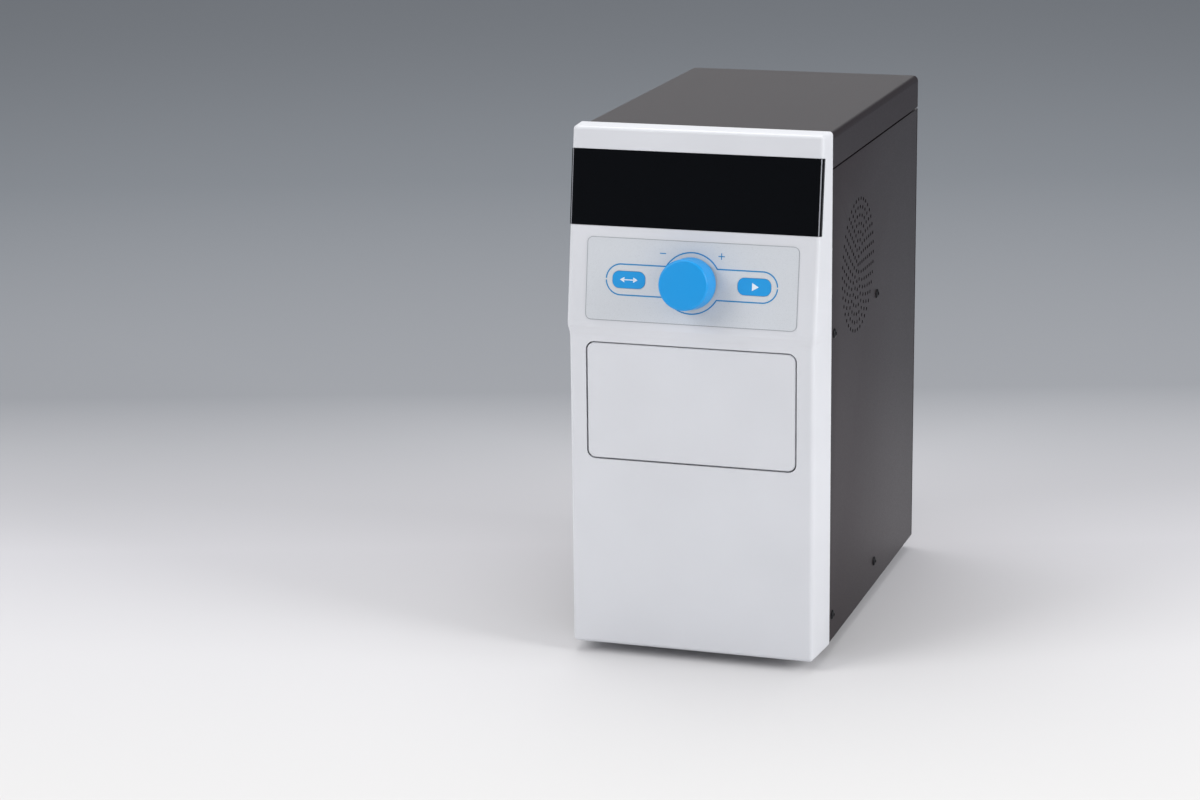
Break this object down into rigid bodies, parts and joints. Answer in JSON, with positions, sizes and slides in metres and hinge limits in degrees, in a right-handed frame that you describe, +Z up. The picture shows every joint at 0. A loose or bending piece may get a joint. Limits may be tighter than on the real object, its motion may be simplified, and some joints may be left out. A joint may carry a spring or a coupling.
{
  "type": "microplate sealer",
  "caption": "Bench heat sealer for microplates: motor-driven drawer, heated spring-loaded press, knob and key console, sheet-metal casing.",
  "frame": {"origin": "on the table under the middle of the object's box", "axes": "+X to the right seen from the front, +Y from the front to the back, +Z up"},
  "size_m": [0.18, 0.3298, 0.37],
  "materials": {
    "white_abs": "satin moulded",
    "dark_coat": "fine satin powder coat",
    "window": "polished",
    "overlay": "fine matt film",
    "blue_print": "satin",
    "blue_knob": "satin moulded",
    "black_rubber": "matt",
    "black_screw": "black oxide",
    "zinc_steel": "zinc plated",
    "ground_steel": "ground",
    "milled_aluminium": "milled",
    "anodised_nest": "bead blasted and anodised",
    "silicone": "matt",
    "circuit_board": "solder mask",
    "black_plastic": "moulded",
    "motor_steel": "painted",
    "brass": "turned",
    "bronze": "sintered",
    "insulation": "pressed mineral board",
    "digits": "moulded"
  },
  "bodies": {
    "casing": {"front_bezel": "white_abs", "display_window": "window", "control_overlay": "overlay", "encoder_body": "zinc_steel", "control_board": "circuit_board", "key_switches": "black_plastic", "display_board": "circuit_board", "display_digits": "digits", "top_cover": "dark_coat", "left_side_panel": "dark_coat", "right_side_panel": "dark_coat", "rear_panel": "dark_coat", "base_plate": "zinc_steel", "rubber_feet": "black_rubber", "panel_screws": "black_screw", "rear_screws": "black_screw", "bezel_screws": "zinc_steel", "left_frame_plate": "milled_aluminium", "right_frame_plate": "milled_aluminium", "panel_posts": "zinc_steel", "slide_deck": "milled_aluminium", "drawer_rails": "ground_steel", "press_anvils": "milled_aluminium", "drawer_motor": "motor_steel", "press_deck": "milled_aluminium", "rod_bushes": "bronze", "press_motor": "motor_steel", "fan_frame": "black_plastic", "power_supply": "zinc_steel", "main_board": "circuit_board", "board_posts": "zinc_steel", "power_inlet": "black_plastic", "fuse_drawer": "black_plastic", "rocker_frame": "black_plastic", "frame_screws": "black_screw"},
    "drawer": {"drawer_door": "white_abs", "door_bracket": "zinc_steel", "drawer_tray": "milled_aluminium", "plate_nest": "anodised_nest", "nest_pad": "silicone", "slide_blocks": "ground_steel", "drawer_rack": "ground_steel"},
    "pinion": {"drive_pinion": "ground_steel"},
    "press": {"press_plate": "milled_aluminium", "guide_rods": "ground_steel", "lead_screw": "ground_steel", "float_springs": "ground_steel"},
    "nut": {"drive_nut": "brass"},
    "platen": {"heater_platen": "milled_aluminium", "insulation_board": "insulation", "cartridge_heaters": "ground_steel", "shoulder_bolts": "ground_steel"},
    "encoder": {"encoder_rotor": "black_plastic"},
    "knob": {"encoder_shaft": "ground_steel", "control_knob": "blue_knob"},
    "in_out_button": {"in_out_key": "blue_print"},
    "start_button": {"start_key": "blue_print"},
    "rocker": {"power_rocker": "black_plastic"},
    "fan": {"fan_rotor": "black_plastic"}
  },
  "joints": [
    {"name": "drawer_slide", "type": "slide", "parent": "casing", "child": "drawer", "axis": [0, -1, 0], "range_m": [0, 0.125]},
    {"name": "pinion_turn", "type": "hinge", "parent": "casing", "child": "pinion", "pos_m": [0, 0.001, 0.128], "axis": [0, 0, -1], "range_deg": [0, 600]},
    {"name": "press_slide", "type": "slide", "parent": "casing", "child": "press", "axis": [0, 0, -1], "range_m": [0, 0.048]},
    {"name": "nut_turn", "type": "hinge", "parent": "casing", "child": "nut", "pos_m": [0, -0.07695, 0.284], "axis": [0, 0, 1], "range_deg": [0, 2161]},
    {"name": "platen_float", "type": "slide", "parent": "press", "child": "platen", "axis": [0, 0, 1], "range_m": [0, 0.003], "stiffness_N_per_m": 8000, "springref_m": -0.004, "deforming": ["float_springs"]},
    {"name": "knob_turn", "type": "hinge", "parent": "casing", "child": "encoder", "pos_m": [0, -0.14125, 0.2685], "axis": [0, -0.9893, 0.1461], "continuous": true},
    {"name": "knob_push", "type": "slide", "parent": "encoder", "child": "knob", "axis": [0, 0.9893, -0.1461], "range_m": [0, 0.001], "stiffness_N_per_m": 1500, "springref_m": -0.001},
    {"name": "in_out_press", "type": "slide", "parent": "casing", "child": "in_out_button", "axis": [0, 0.9893, -0.1461], "range_m": [0, 0.0004], "stiffness_N_per_m": 3000, "springref_m": -0.0003},
    {"name": "start_press", "type": "slide", "parent": "casing", "child": "start_button", "axis": [0, 0.9893, -0.1461], "range_m": [0, 0.0004], "stiffness_N_per_m": 3000, "springref_m": -0.0003},
    {"name": "rocker_tip", "type": "hinge", "parent": "casing", "child": "rocker", "pos_m": [0.014, 0.1571, 0.084], "axis": [1, 0, 0], "range_deg": [0, 16]},
    {"name": "fan_spin", "type": "hinge", "parent": "casing", "child": "fan", "pos_m": [0.0755, -0.029, 0.263], "axis": [1, 0, 0], "continuous": true}
  ],
  "couplings": [
    {"joint": "pinion_turn", "follows": "drawer_slide", "rad_per_m": 83.333},
    {"joint": "nut_turn", "follows": "press_slide", "rad_per_m": 785.4}
  ]
}
